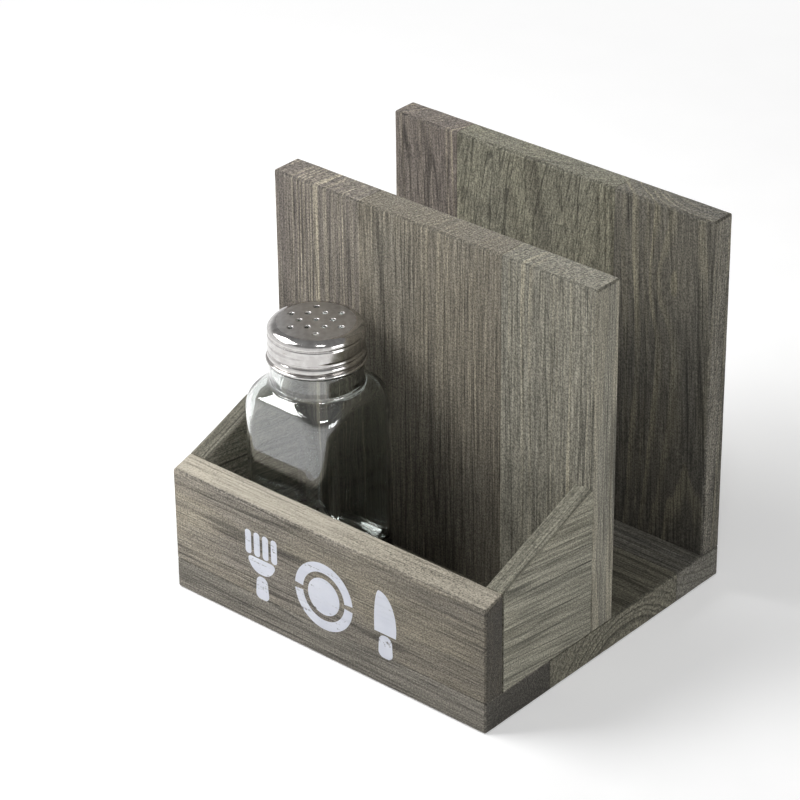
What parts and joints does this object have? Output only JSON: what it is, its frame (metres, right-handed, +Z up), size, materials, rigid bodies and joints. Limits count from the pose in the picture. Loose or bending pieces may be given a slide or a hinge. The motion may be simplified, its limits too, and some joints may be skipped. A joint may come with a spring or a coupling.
{
  "type": "napkin and condiment caddy",
  "caption": "Stained wooden table caddy with an open tray in front, a napkin slot behind a tall divider, and a square glass shaker with a pierced metal cap.",
  "frame": {"origin": "centre of the base board's underside, on the table", "axes": "+X to the caddy's right seen from the front, the front board faces -Y, +Z up"},
  "size_m": [0.138, 0.126, 0.1395],
  "materials": {
    "base_wood": "matt grey-brown stain over softwood",
    "panel_wood": "matt grey-brown stain over softwood",
    "tray_wood": "matt grey-brown stain, rubbed lighter on the edges",
    "stencil_paint": "thin white stencil paint",
    "fastener_steel": "plain zinc plated",
    "clear_glass": "clear pressed glass",
    "cap_steel": "satin top, polished rounded edge"
  },
  "bodies": {
    "caddy": {"base_stave_front": "base_wood", "base_stave_middle": "base_wood", "base_stave_rear": "base_wood", "divider_stave_left": "panel_wood", "divider_stave_middle": "panel_wood", "divider_stave_right": "panel_wood", "back_stave_left": "panel_wood", "back_stave_middle": "panel_wood", "back_stave_right": "panel_wood", "front_board": "tray_wood", "left_cheek": "tray_wood", "right_cheek": "tray_wood", "base_screws": "fastener_steel", "base_brads": "fastener_steel", "cheek_brads": "fastener_steel"},
    "shaker": {"shaker_bottle": "clear_glass"},
    "cap": {"shaker_cap": "cap_steel"}
  },
  "joints": [
    {"name": "shaker_lift", "type": "slide", "parent": "caddy", "child": "shaker", "axis": [0, 0, 1], "range_m": [0, 0.13]},
    {"name": "cap_off", "type": "slide", "parent": "shaker", "child": "cap", "axis": [0, 0, 1], "range_m": [0, 0.03]}
  ]
}
